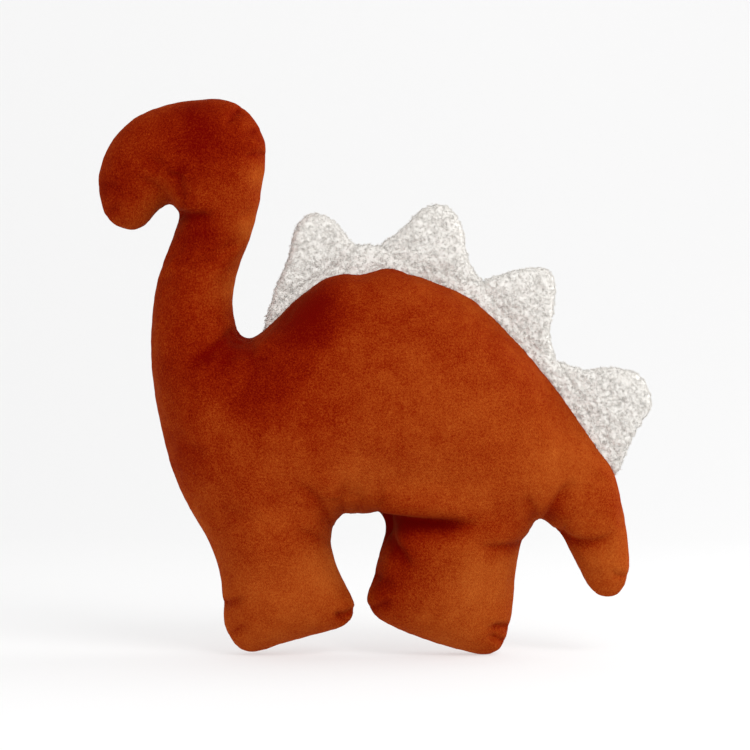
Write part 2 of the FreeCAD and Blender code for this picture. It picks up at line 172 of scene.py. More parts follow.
STRIP = (
    (-79, 234), (-74, 248), (-62, 262), (-42, 280), (-16, 293), (-2, 294.5), (8, 293), (30, 287),
    (56, 278), (76, 268), (92, 254), (108, 240), (122, 224), (129, 214), (137, 205), (152, 189),
    (165, 168), (176, 148), (177, 134), (171, 130), (158, 147), (142, 169), (126, 191),
    (107, 213), (90, 231), (73, 247), (57, 256), (40, 262), (20, 269), (4, 271), (-10, 267),
    (-28, 266), (-42, 259), (-58, 247), (-71, 234), (-77, 229),
)
# Half thicknesses of a spike and of the strip.
SPIKE_HALF = 8.0
STRIP_HALF = 7.2


def smooth_loop(points, step, closed=True):
    """Points about step apart on a Catmull-Rom curve through the given points."""
    p = np.array(points, float)
    if closed:
        p = np.vstack([p[-1:], p, p[:2]])
    else:
        p = np.vstack([2 * p[:1] - p[1:2], p, 2 * p[-1:] - p[-2:-1]])
    t = np.linspace(0, 1, 16, endpoint=False)[:, None]
    runs = []
    for a, b, c, d in zip(p[:-3], p[1:-2], p[2:-1], p[3:]):
        runs.append(0.5 * (2 * b + (c - a) * t + (2 * a - 5 * b + 4 * c - d) * t ** 2
                           + (3 * b - a - 3 * c + d) * t ** 3))
    curve = np.vstack(runs + [p[1:2] if closed else p[-2:-1]])
    along = np.concatenate([[0], np.cumsum(np.linalg.norm(np.diff(curve, axis=0), axis=1))])
    count = max(4, round(along[-1] / step))
    wanted = np.linspace(0, along[-1], count, endpoint=False) if closed \
        else np.linspace(0, along[-1], count)
    return np.stack([np.interp(wanted, along, curve[:, i]) for i in (0, 1)], 1)


def inside(points, loop):
    """Which points lie inside the closed loop."""
    x, z = points[:, 0:1], points[:, 1:2]
    a, b = loop, np.roll(loop, -1, 0)
    spans = (a[:, 1] > z) != (b[:, 1] > z)
    rise = np.where(b[:, 1] == a[:, 1], 1e-9, b[:, 1] - a[:, 1])
    cuts = x < (b[:, 0] - a[:, 0]) * (z - a[:, 1]) / rise + a[:, 0]
    return (spans & cuts).sum(1) % 2 == 1


def nearest(points, targets):
    """Distance from each point to its nearest target, and that target's index."""
    tree = kdtree.KDTree(len(targets))
    for i, t in enumerate(targets):
        tree.insert((t[0], t[1], 0), i)
    tree.balance()
    found = [tree.find((p[0], p[1], 0)) for p in points]
    return np.array([f[2] for f in found]), np.array([f[1] for f in found])


def inward_of(loop):
    """The direction into the closed loop at each of its points."""
    tangent = np.roll(loop, -1, 0) - np.roll(loop, 1, 0)
    tangent /= np.linalg.norm(tangent, axis=1)[:, None]
    turn = np.sign(np.sum(loop[:, 0] * np.roll(loop[:, 1], -1)
                          - np.roll(loop[:, 0], -1) * loop[:, 1]))
    return np.stack([-tangent[:, 1], tangent[:, 0]], 1) * turn


def flat_pattern(loop, spacing, rings):
    """Triangles over the closed loop: its own points first, then rings inside it, then a grid."""
    inward = inward_of(loop)
    points = [loop]
    fine = smooth_loop(loop, spacing / 4)
    for depth in rings:
        ring = loop + inward * depth
        ring = ring[inside(ring, loop)]
        points.append(ring[nearest(ring, fine)[0] > depth * 0.85])
    low, high = loop.min(0), loop.max(0)
    rows = []
    row_step = spacing * math.sqrt(3) / 2
    for i, z in enumerate(np.arange(low[1], high[1], row_step)):
        xs = np.arange(low[0] + (i % 2) * spacing / 2, high[0], spacing)
        rows.append(np.stack([xs, np.full_like(xs, z)], 1))
    grid = np.vstack(rows)
    grid = grid[inside(grid, loop)]
    points.append(grid[nearest(grid, fine)[0] > (rings[-1] if rings else 0) + spacing * 0.6])
    flat = np.vstack(points)
    out = delaunay_2d_cdt([Vector(p) for p in flat], [], [list(range(len(loop)))], 1, 1e-6)
    return np.array([tuple(v) for v in out[0]]), np.array([f for f in out[2] if len(f) == 3])


SOLVER_STEPS = 600


def membrane(points, faces, fixed):
    """Height squared of a membrane blown up over the triangles and held at the fixed points."""
    a, b, c = (points[faces[:, i]] for i in range(3))

    def cross(u, v):
        return np.abs(u[:, 0] * v[:, 1] - u[:, 1] * v[:, 0])

    area = cross(b - a, c - a) / 2
    pull = np.zeros(len(points))
    starts, ends, weights = [], [], []
    for i, (u, v, w) in enumerate(((a, b, c), (b, c, a), (c, a, b))):
        cot = np.sum((v - u) * (w - u), 1) / np.maximum(cross(v - u, w - u), 1e-9) / 2
        starts.append(faces[:, (i + 1) % 3])
        ends.append(faces[:, (i + 2) % 3])
        weights.append(cot)
        pull += np.bincount(faces[:, i], area / 3, len(points))
    starts, ends = np.concatenate(starts), np.concatenate(ends)
    weights = np.concatenate(weights)
    free = ~fixed

    def stiffness(u):
        flow = weights * (u[starts] - u[ends])
        return (np.bincount(starts, flow, len(u)) - np.bincount(ends, flow, len(u))) * free

    height = np.zeros(len(points))
    rest = 4 * pull * free
    step = rest.copy()
    norm = rest @ rest
    for _ in range(SOLVER_STEPS):
        across = stiffness(step)
        size = norm / (step @ across)
        height += size * step
        rest -= size * across
        new = rest @ rest
        if new < 1e-10:
            break
        step = rest + new / norm * step
        norm = new
    return np.maximum(height, 0)


def spread(points, table):
    """The table's last column at each point, weighted by how near each row's point is."""
    table = np.array(table, float)
    gap = np.linalg.norm(points[:, None] - table[None, :, :2], axis=2) + 4
    weight = gap ** -3
    return (weight * table[:, 2]).sum(1) / weight.sum(1)


def mesh_from(name, points, faces):
    mesh = bpy.data.meshes.new(name)
    mesh.from_pydata([tuple(p) for p in points], [], [tuple(int(i) for i in f) for f in faces])
    mesh.validate()
    mesh.update()
    return mesh


def add_object(name, mesh):
    made = bpy.data.objects.new(name, mesh)
    bpy.context.scene.collection.objects.link(made)
    return made


def shade_smooth(mesh):
    mesh.polygons.foreach_set("use_smooth", [True] * len(mesh.polygons))


def read_points(mesh):
    points = np.empty(len(mesh.vertices) * 3)
    mesh.vertices.foreach_get("co", points)
    return points.reshape(-1, 3)


def write_points(mesh, points):
    mesh.vertices.foreach_set("co", np.ascontiguousarray(points, float).ravel())
    mesh.update()


def read_normals(mesh):
    normals = np.empty(len(mesh.vertices) * 3)
    mesh.vertex_normals.foreach_get("vector", normals)
    return normals.reshape(-1, 3)


def applied(made):
    """The object with its modifiers applied, in a mesh of its own."""
    graph = bpy.context.evaluated_depsgraph_get()
    mesh = bpy.data.meshes.new_from_object(made.evaluated_get(graph))
    old = made.data
    made.modifiers.clear()
    made.data = mesh
    bpy.data.meshes.remove(old)
    return made


def swollen(loop, spacing, rings, half_at):
    """Both sides of a stuffed shape: flat points, heights and triangles of one side."""
    flat, faces = flat_pattern(loop, spacing, rings)
    fixed = nearest(flat, loop)[0] < 1e-3
    height = np.sqrt(membrane(flat, faces, fixed))
    return flat, faces, height * half_at(flat, height), fixed


def closed_body(flat, faces, height, fixed):
    """One closed mesh's points and triangles from the two mirrored sides."""
    count = len(flat)
    near = np.stack([flat[:, 0], -height, flat[:, 1]], 1)
    far_of = np.arange(count)
    far_of[~fixed] = count + np.arange((~fixed).sum())
    far = near[~fixed] * (1, -1, 1)
    a, b, c = (near[faces[:, i]] for i in range(3))
    toward = np.cross(b - a, c - a)[:, 1] > 0
    faces = np.where(toward[:, None], faces[:, ::-1], faces)
    return np.vstack([near, far]) * MM, np.vstack([faces, far_of[faces[:, ::-1]]])


# ---- the velvet body ---------------------------------------------------------------------------

# The seam's groove and the rounding of the mesh take this much off the outline, in millimetres.
SEAM_ALLOWANCE = 0.95
OUTLINE_STEP = 3.5
BODY_SPACING, BODY_RINGS = 4.2, (0.5, 2.0)
VOXEL = 0.0036
CLOTH_FRAMES = 20
CLOTH_CAP = 0.006
CLOTH_HELD = 0.003
# How wide a crease is on its steep side, above it, and on its gentle side, times its width.
STEEP, GENTLE = 0.55, 1.55
# Lumps of the stuffing, and puckers along the seam: how fine they are, and their height in millimetres.
LUMP_FINE, LUMP_HIGH = 26, 0.8
SMALL_FINE, SMALL_HIGH = 68, 0.16
PUCKER_FINE, PUCKER_HIGH, PUCKER_REACH = 0.33, 0.35, 9
# The perimeter seam: its groove, and where the mesh is cut beside it.
SEAM_DEEP, SEAM_WIDE = 0.0013, 0.0016
SEAM_CUTS = (0, -0.0012, 0.0012, -0.0028, 0.0028)


def half_depths(flat, height):
    """How much thinner the body is than a plain membrane, at each point."""
    rows = []
    for x, z, half in DEPTHS:
        near = np.argmin(np.linalg.norm(flat - (x, z), axis=1))
        rows.append((x, z, half / height[near]))
    return spread(flat, rows)


def blow_up(body):
    """The body pressed out by its stuffing, held at the seam and moved at most CLOTH_CAP."""
    before = read_points(body.data)
    held = body.vertex_groups.new(name="seam")
    held.add([i for i, p in enumerate(before) if abs(p[1]) < CLOTH_HELD], 1.0, "REPLACE")
    cloth = body.modifiers.new("stuffing", "CLOTH")
    cloth.settings.quality = 5
    cloth.settings.mass = 0.25
    cloth.settings.tension_stiffness = 12
    cloth.settings.compression_stiffness = 12
    cloth.settings.shear_stiffness = 8
    cloth.settings.bending_stiffness = 0.4
    cloth.settings.use_pressure = True
    cloth.settings.uniform_pressure_force = 4
    cloth.settings.shrink_min = -0.008
    cloth.settings.vertex_group_mass = "seam"
    cloth.settings.effector_weights.gravity = 0
    cloth.point_cache.frame_start = 1
    cloth.point_cache.frame_end = CLOTH_FRAMES
    scene = bpy.context.scene
    for number in range(1, CLOTH_FRAMES + 1):
        scene.frame_set(number)
    applied(body)
    scene.frame_set(1)
    after = read_points(body.data)
    moved = after - before
    far = np.linalg.norm(moved, axis=1)
    moved *= (np.minimum(far, CLOTH_CAP) / np.maximum(far, 1e-9))[:, None]
    write_points(body.data, before + moved)


def fold_fields(points):
    """How far the table's creases move each point outwards, in metres, and how much painted shade they put
    into the velvet's colour.
    """
    flat = points[:, (0, 2)] / MM
    shift, shade = np.zeros(len(points)), np.zeros(len(points))
    near_seam = np.clip(np.abs(points[:, 1]) / 0.007, 0, 1)
    for path, depth, width, lip in FOLDS:
        line = smooth_loop(path, 1.5, closed=False)
        reach = 6 * width
        picked = np.nonzero(np.all((flat > line.min(0) - reach) & (flat < line.max(0) + reach), 1))[0]
        if not len(picked):
            continue
        gap = flat[picked][:, None] - line[None]
        far = np.linalg.norm(gap, axis=2)
        at = far.argmin(1)
        off = gap[np.arange(len(picked)), at]
        tangent = np.gradient(line, axis=0)
        tangent /= np.linalg.norm(tangent, axis=1)[:, None]
        across = np.stack([-tangent[:, 1], tangent[:, 0]], 1)
        across *= np.sign(across[:, 1:2] + 1e-9)
        gap = far.min(1) * np.sign((off * across[at]).sum(1))
        run = at / (len(line) - 1)
        fade = np.clip(np.minimum(run / 0.08 + 0.6, (1 - run) / 0.5), 0, 1)
        fade = fade * fade * (3 - 2 * fade)
        reach = np.where(gap > 0, STEEP * width, GENTLE * width)
        groove = np.exp(-np.abs(gap / reach) ** 1.7)
        bulge = lip * np.exp(-((gap - 2.2 * width) / (1.7 * width)) ** 2)
        shift[picked] += (bulge - depth * groove) * fade * near_seam[picked] * MM
        # Painted shade: the deeper the crease, the darker the velvet's colour in it.
        shade[picked] += np.minimum(depth / 7, 1.1) * groove * fade
    return shift, shade


def add_ripples(points, normals, loop):
    """The points with the lumps of the stuffing, and the small puckers beside the seam."""
    near, at = nearest(points[:, (0, 2)] / MM, loop)
    out = points.copy()
    shift = np.empty(len(points))
    for i, p in enumerate(points):
        side = 7.3 if p[1] > 0 else 0.0
        lump = noise.noise(Vector(p) * LUMP_FINE + Vector((side, 0, 3)))
        small = noise.noise(Vector(p) * SMALL_FINE + Vector((side, 5, 1)))
        pucker = noise.noise(Vector((at[i] * PUCKER_FINE, side, 2.0))) * math.exp(-near[i] / PUCKER_REACH)
        shift[i] = LUMP_HIGH * lump + SMALL_HIGH * small + PUCKER_HIGH * pucker
    grip = np.clip(np.abs(points[:, 1]) / 0.006, 0, 1)
    out += normals * (shift * grip * MM)[:, None]
    return out


def cut_seam(mesh):
    """Cuts the mesh along the seam plane, and beside it for the seam's groove."""
    made = bmesh.new()
    made.from_mesh(mesh)
    for y in SEAM_CUTS:
        everything = made.verts[:] + made.edges[:] + made.faces[:]
        bmesh.ops.bisect_plane(made, geom=everything, dist=2e-5, plane_co=(0, y, 0),
                               plane_no=(0, 1, 0))
    bmesh.ops.triangulate(made, faces=[f for f in made.faces if len(f.verts) > 4])
    made.to_mesh(mesh)
    made.free()
    mesh.update()


def press_seam(points, normals):
    """The points with the seam's groove pressed in."""
    near = np.exp(-(points[:, 1] / SEAM_WIDE) ** 2)
    flat = normals.copy()
    flat[:, 1] = 0
    flat /= np.maximum(np.linalg.norm(flat, axis=1), 1e-6)[:, None]
    return points - flat * (near * SEAM_DEEP)[:, None]


def make_body():
    """The whole stuffed body as one closed mesh."""
    loop = smooth_loop(OUTLINE, OUTLINE_STEP)
    loop = loop - inward_of(loop) * SEAM_ALLOWANCE
    flat, faces, height, fixed = swollen(loop, BODY_SPACING, BODY_RINGS, half_depths)
    points, faces = closed_body(flat, faces, height, fixed)
    body = add_object("body_form", mesh_from("body_form", points, faces))
    remesh = body.modifiers.new("even", "REMESH")
    remesh.mode = "VOXEL"
    remesh.voxel_size = VOXEL
    remesh.use_smooth_shade = True
    applied(body)
    blow_up(body)
    finer = body.modifiers.new("finer", "SUBSURF")
    finer.levels = finer.render_levels = 1
    applied(body)
    mesh = body.data
    write_points(mesh, add_ripples(read_points(mesh), read_normals(mesh), loop))
    points = read_points(mesh)
    write_points(mesh, points + read_normals(mesh) * fold_fields(points)[0][:, None])
    cut_seam(mesh)
    write_points(mesh, press_seam(read_points(mesh), read_normals(mesh)))
    return body


def faces_of(mesh):
    """The mesh's faces as tuples of point numbers."""
    return [tuple(p.vertices) for p in mesh.polygons]


def zone_of(center):
    """Index of the zone that a place on the body, in metres, belongs to; None for the torso."""
    x, z = center[0] / MM, center[2] / MM
    for number, (name, _, _, hinge, toward, start, _) in enumerate(ZONES):
        along = (x - hinge[0]) * toward[0] + (z - hinge[1]) * toward[1]
        if along < start - BEND_MARGIN:
            continue
        if name == "head" or name == "neck" and (x < NAPE_X or z > SHOULDER_TOP_Z):
            return number
        if name == "front_leg" and x < LEG_GAP_X and z < FRONT_LEG_TOP_Z:
            return number
        if name == "hind_leg" and LEG_GAP_X < x < TAIL_FROM_X:
            return number
        if name == "tail" and x > TAIL_FROM_X:
            return number
    return None


def rim_faces(faces, count):
    """Quads that join the faces' open edges to their copies, count points further on."""
    edges = {(a, b) for f in faces for a, b in zip(f, f[1:] + f[:1])}
    return [(b, a, a + count, b + count) for a, b in edges if (b, a) not in edges]


def shell(name, points, normals, faces, thick):
    """A closed sheet of that thickness under the faces, shaded by the whole body's normals."""
    used = np.unique(np.concatenate([np.array(f) for f in faces]))
    number = {int(v): i for i, v in enumerate(used)}
    outer = [tuple(number[v] for v in f) for f in faces]
    count = len(used)
    inner = [tuple(v + count for v in f[::-1]) for f in outer]
    places = np.vstack([points[used], points[used] - normals[used] * thick])
    mesh = bpy.data.meshes.new(name)
    mesh.from_pydata([tuple(p) for p in places], [], outer + inner + rim_faces(outer, count))
    mesh.update()
    shading = np.zeros((len(mesh.loops), 3))
    for p in mesh.polygons:
        for at in p.loop_indices:
            v = mesh.loops[at].vertex_index
            if p.index < len(outer):
                shading[at] = normals[used[v]]
            elif p.index < 2 * len(outer):
                shading[at] = -normals[used[v - count]]
            else:
                shading[at] = p.normal
    shade_smooth(mesh)
    mesh.normals_split_custom_set(shading)
    return mesh


def bend(piece, number):
    """Lets a piece with no zone ride on the torso, or bakes the place of a zone's piece."""
    if number is None:
        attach(piece, "torso")
        return
    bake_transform(piece)


PANEL_THICK = 0.0014
# How deep the filling lies under the cloth, and how far from the seam plane that becomes straight inwards.
FILL_INSET = 0.004
SEAM_BAND_FROM, SEAM_BAND_OVER = 0.003, 0.006


def nap_sheen_and_shade_at(points):
    """The painted sheen and shade at each point, from the table: how bright the nap looks under the light.
    """
    flat = points[:, (0, 2)] / MM
    out = np.zeros(len(points))
    for x, z, reach, amount in NAP_SHEEN_AND_SHADE:
        out += amount * np.exp(-((flat - (x, z)) ** 2).sum(1) / reach ** 2)
    return out


def write_value(mesh, name, values):
    layer = mesh.attributes.new(name, "FLOAT", "POINT")
    layer.data.foreach_set("value", np.ascontiguousarray(values, np.float32))


def sunken(points, normals):
    """The points moved into the body: along the normals, and beside the seam towards the panels' middle."""
    loop = smooth_loop(OUTLINE, OUTLINE_STEP)
    at = nearest(points[:, (0, 2)] / MM, loop)[1]
    inward = inward_of(loop)[at]
    from_seam = points * (1, 0.4, 1)
    from_seam[:, (0, 2)] += inward * FILL_INSET * 1.2
    share = np.clip((np.abs(points[:, 1]) - SEAM_BAND_FROM) / SEAM_BAND_OVER, 0, 1)[:, None]
    return share * (points - normals * FILL_INSET) + (1 - share) * from_seam


def filling(name, points, faces):
    """A closed lump of filling from its sunken points."""
    used = np.unique(np.concatenate([np.array(f) for f in faces]))
    number = {int(v): i for i, v in enumerate(used)}
    made = bmesh.new()
    for p in points[used]:
        made.verts.new(p)
    made.verts.ensure_lookup_table()
    for f in faces:
        made.faces.new([made.verts[number[v]] for v in f])
    bmesh.ops.holes_fill(made, edges=[e for e in made.edges if e.is_boundary], sides=0)
    bmesh.ops.triangulate(made, faces=[f for f in made.faces if len(f.verts) > 4])
    bmesh.ops.recalc_face_normals(made, faces=made.faces[:])
    mesh = bpy.data.meshes.new(name)
    made.to_mesh(mesh)
    made.free()
    shade_smooth(mesh)
    return mesh


def make_panels(body, velvet, stuffing):
    """The panels and the filling of every zone, cut from the body."""
    mesh = body.data
    points, normals = read_points(mesh), read_normals(mesh)
    inner = sunken(points, normals)
    groups = {}
    for polygon in mesh.polygons:
        number = zone_of(polygon.center)
        side = "left" if polygon.center[1] < 0 else "right"
        groups.setdefault((number, side), []).append(tuple(polygon.vertices))
    numbers = sorted({n for n, _ in groups}, key=lambda n: -1 if n is None else n)
    for number in numbers:
        name = "torso" if number is None else ZONES[number][0]
        for side in ("left", "right"):
            title = f"{name}_{side}_panel"
            piece = add_object(f"{name}_{side}_velvet",
                               shell(title, points, normals, groups[(number, side)], PANEL_THICK))
            places = read_points(piece.data)
            # Painted sheen and shade from the nap table, with the creases' painted shade taken off, kept on
            # the piece for the velvet's colour.
            write_value(piece.data, "painted_sheen_and_shade", nap_sheen_and_shade_at(places) - fold_fields(places)[1])
            piece.data.materials.append(velvet)
            bend(piece, number)
            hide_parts(title)
        both = groups[(number, "left")] + groups[(number, "right")]
        lump = add_object(f"{name}_fibre", filling(f"{name}_fill", inner, both))
        lump.data.materials.append(stuffing)
        bend(lump, number)
        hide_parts(f"{name}_fill")


# ---- the sherpa strip and spikes ---------------------------------------------------------------

PILE_STEP, PILE_SPACING, PILE_RINGS = 1.8, 1.6, (0.4,)
PILE_THICK = 2.2
PAD_EVEN = 1.8
# Half the gap between the left and right cloth.
SIDE_GAP = 0.05
# Lumps along the outline: how fine they are, and how far they stand out.
CLUMP_FINE, CLUMP_OUT = 0.3, 1.1
CURL_STEPS = 4
CURL_SIDES = 3
CURL_PER_MM2 = 0.72
CURL_LIMIT = 5200
RIM_CURLS = 3


def curl_mesh(roots, outward, seed):
    """Points and faces of small woolly curls that stand on the roots."""
    rng = np.random.default_rng(seed)
    count = len(roots)
    random_way = rng.normal(size=(count, 3))
    first = np.cross(outward, random_way)
    first /= np.linalg.norm(first, axis=1)[:, None]
    second = np.cross(outward, first)
    radius = rng.uniform(0.45, 0.95, count)
    lift = rng.uniform(0.6, 1.6, count)
    lean = rng.uniform(-0.9, 0.9, (count, 2))
    start = rng.uniform(0, 2 * math.pi, count)
    turns = rng.uniform(0.7, 1.5, count) * rng.choice((-1, 1), count)
    thick = rng.uniform(0.22, 0.38, count)
    points = np.empty((count, CURL_STEPS + 1, CURL_SIDES, 3))
    for k in range(CURL_STEPS + 1):
        share = k / CURL_STEPS
        angle = start + turns * 2 * math.pi * share
        east, north = np.cos(angle), np.sin(angle)
        arm = first * east[:, None] + second * north[:, None]
        center = roots + outward * (lift * share - 0.5)[:, None]
        center = center + first * ((east - np.cos(start)) * radius + lean[:, 0] * share)[:, None]
        center = center + second * ((north - np.sin(start)) * radius + lean[:, 1] * share)[:, None]
        wide = thick * (1 - 0.55 * share)
        for s in range(CURL_SIDES):
            turn = 2 * math.pi * s / CURL_SIDES
            points[:, k, s] = center + (arm * math.cos(turn) + outward * math.sin(turn)) \
                * wide[:, None]
    base = (np.arange(count) * (CURL_STEPS + 1) * CURL_SIDES)[:, None]
    faces = []
    for k in range(CURL_STEPS):
        for s in range(CURL_SIDES):
            a, b = k * CURL_SIDES + s, k * CURL_SIDES + (s + 1) % CURL_SIDES
            faces.append(base + np.array([[a, b, b + CURL_SIDES, a + CURL_SIDES]]))
    quads = np.concatenate(faces)
    last = CURL_STEPS * CURL_SIDES
    caps = np.concatenate([base + np.array([[2, 1, 0]]), base + np.array([[last, last + 1, last + 2]])])
    return points.reshape(-1, 3), [tuple(f) for f in quads.tolist()] + [tuple(f) for f in caps.tolist()]


def woolly(flat, height):
    """Heights with the lumps of the pile added."""
    out = height.copy()
    for i, (x, z) in enumerate(flat):
        big = noise.noise(Vector((x * 0.10, height[i] * 0.1, z * 0.10)))
        cell = noise.voronoi(Vector((x * 0.34, 1.7, z * 0.34)))[0][0]
        out[i] += (1.2 * big + 2.8 * (0.45 - cell)) * min(1, height[i] / 3)
    return np.maximum(out, 0)


def pile_pattern(outline, half):
    """A sherpa shape's outline, and the flat points, triangles and heights of one side."""
    loop = smooth_loop(outline, PILE_STEP)
    clumps = np.array([noise.noise(Vector((x * CLUMP_FINE, z * CLUMP_FINE, 4))) for x, z in loop])
    loop = loop - inward_of(loop) * (CLUMP_OUT * clumps)[:, None]

    def even(flat, height):
        # a flat pad: nearly the full thickness soon inside the edge
        top = height.max()
        return half * np.tanh(PAD_EVEN * height / top) / np.tanh(PAD_EVEN) / np.maximum(height, 1e-6)

    flat, faces, height, fixed = swollen(loop, PILE_SPACING, PILE_RINGS, even)
    a, b, c = (flat[faces[:, i]] for i in range(3))
    turn = (b - a)[:, 0] * (c - a)[:, 1] - (b - a)[:, 1] * (c - a)[:, 0]
    faces = np.where(turn[:, None] < 0, faces[:, ::-1], faces)
    return loop, flat, faces, height, fixed


def skin_roots(rng, skin, faces):
    """Places for curls all over the skin, and the direction that each one stands in."""
    a, b, c = (skin[faces[:, i]] for i in range(3))
    across = np.cross(b - a, c - a)
    size = np.linalg.norm(across, axis=1)
    count = min(CURL_LIMIT, int(size.sum() / 2 * CURL_PER_MM2))
    picks = rng.choice(len(faces), count, p=size / size.sum())
    u, v = rng.random(count), rng.random(count)
    flip = u + v > 1
    u, v = np.where(flip, 1 - u, u), np.where(flip, 1 - v, v)
    roots = a[picks] + (b - a)[picks] * u[:, None] + (c - a)[picks] * v[:, None]
    return roots, across[picks] / size[picks][:, None]


def rim_roots(rng, loop, sign):
    """The same along the outline, where the curls stand outwards and make the edge woolly."""
    inward = inward_of(loop)
    rim = np.repeat(np.arange(len(loop)), RIM_CURLS)
    lean = sign * rng.uniform(0, 0.8, len(rim))
    outward = np.stack([-inward[rim, 0], lean, -inward[rim, 1]], 1)
    places = loop[rim] + rng.uniform(-0.9, 0.9, (len(rim), 2)) + inward[rim] * 0.2
    roots = np.stack([places[:, 0], lean, places[:, 1]], 1)
    return roots, outward / np.linalg.norm(outward, axis=1)[:, None]


def pile_sheet(skin, lining, faces):
    """Points and faces of the closed sheet between the skin and its lining."""
    count = len(skin)
    outer = [tuple(f) for f in faces.tolist()]
    inner = [tuple(v + count for v in f[::-1]) for f in outer]
    return np.vstack([skin, lining]), outer + inner + rim_faces(outer, count)


def finish_pile(piece, material, node, bodies):
    """Shades the piece, lets it ride on its one body or else bakes its place, and hides its node."""
    shade_smooth(piece.data)
    piece.data.materials.append(material)
    if len(bodies) == 1:
        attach(piece, bodies[0])
    else:
        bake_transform(piece)
    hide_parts(node)


def make_pile(name, outline, half, bodies, material, filler, seed):
    """The left and right cloth of a sherpa shape, and its filling."""
    loop, flat, faces, height, fixed = pile_pattern(outline, half)
    outer = woolly(flat, height)
    inner = np.clip(height - PILE_THICK, 0, None) * ~fixed
    rng = np.random.default_rng(seed)
    for side, sign in (("left", -1), ("right", 1)):
        skin = np.stack([flat[:, 0], sign * (outer + SIDE_GAP), flat[:, 1]], 1)
        lining = np.stack([flat[:, 0], sign * (inner + 0.8 * SIDE_GAP), flat[:, 1]], 1)
        facing = faces if sign < 0 else faces[:, ::-1]
        points, cells = pile_sheet(skin, lining, facing)
        places = skin_roots(rng, skin, facing), rim_roots(rng, loop, sign)
        roots, outward = (np.vstack(pair) for pair in zip(*places))
        curls, curl_cells = curl_mesh(roots, outward, seed + (sign + 1))
        cells += [tuple(v + len(points) for v in f) for f in curl_cells]
        node = f"{name}_{side}_pile" if name.startswith("spike") else f"{name}_{side}"
        piece = add_object(f"{name}_{side}_sherpa", mesh_from(node, np.vstack([points, curls]) * MM, cells))
        finish_pile(piece, material, node, bodies)
    if filler is not None:
        node = f"{name}_fill"
        lump = add_object(f"{name}_fibre", mesh_from(node, *closed_body(flat, faces, inner * 0.9, fixed)))
        finish_pile(lump, filler, node, bodies)


def make_sherpa(sherpa, stuffing):
    """The four spikes and the strip."""
    for number, (name, front, rear, outline) in enumerate(SPIKES):
        front, rear = np.array(front, float), np.array(rear, float)
        make_pile(name, outline, SPIKE_HALF, ("torso", name), sherpa, stuffing, 100 + 10 * number)
    make_pile("back_strip", STRIP, STRIP_HALF, ("torso",), sherpa, None, 300)


# ---- materials ---------------------------------------------------------------------------------


class Nodes:
    """Short calls that build a material's nodes."""

    def __init__(self, name):
        self.material = bpy.data.materials.new(name)
        self.material.use_nodes = True
        self.tree = self.material.node_tree
        self.shader = self.tree.nodes["Principled BSDF"]

    def add(self, kind, **settings):
        node = self.tree.nodes.new(kind)
        for key, value in settings.items():
            setattr(node, key, value)
        return node

    def link(self, start, end):
        self.tree.links.new(start, end)

    def coords(self, turn=(0, 0, 0), scale=(1, 1, 1)):
        place = self.add("ShaderNodeTexCoord")
        mapping = self.add("ShaderNodeMapping")
        mapping.inputs["Rotation"].default_value = turn
        mapping.inputs["Scale"].default_value = scale
        self.link(place.outputs["Object"], mapping.inputs["Vector"])
        return mapping.outputs["Vector"]

    def noise(self, vector, scale, detail=3.0, rough=0.55):
        node = self.add("ShaderNodeTexNoise")
        node.inputs["Scale"].default_value = scale
        node.inputs["Detail"].default_value = detail
        node.inputs["Roughness"].default_value = rough
        self.link(vector, node.inputs["Vector"])
        return node.outputs["Fac"]

    def math(self, how, a, b=0.0, c=0.0):
        node = self.add("ShaderNodeMath", operation=how)
        for socket, value in zip(node.inputs, (a, b, c)):
            if isinstance(value, bpy.types.NodeSocket):
                self.link(value, socket)
            else:
                socket.default_value = value
        return node.outputs[0]

    def ramp(self, value, stops):
        node = self.add("ShaderNodeValToRGB")
        bar = node.color_ramp
        while len(bar.elements) < len(stops):
            bar.elements.new(0.5)
        for element, (place, color) in zip(bar.elements, stops):
            element.position = place
            element.color = (*color, 1)
        self.link(value, node.inputs["Fac"])
        return node.outputs["Color"]

    def bump(self, height, strength, distance, under=None):
        node = self.add("ShaderNodeBump")
        node.inputs["Strength"].default_value = strength
        node.inputs["Distance"].default_value = distance
        self.link(height, node.inputs["Height"])
        if under is not None:
            self.link(under, node.inputs["Normal"])
        return node.outputs["Normal"]

    def set(self, **values):
        for key, value in values.items():
            socket = self.shader.inputs[key.replace("_", " ")]
            if isinstance(value, bpy.types.NodeSocket):
                self.link(value, socket)
            else:
                socket.default_value = value


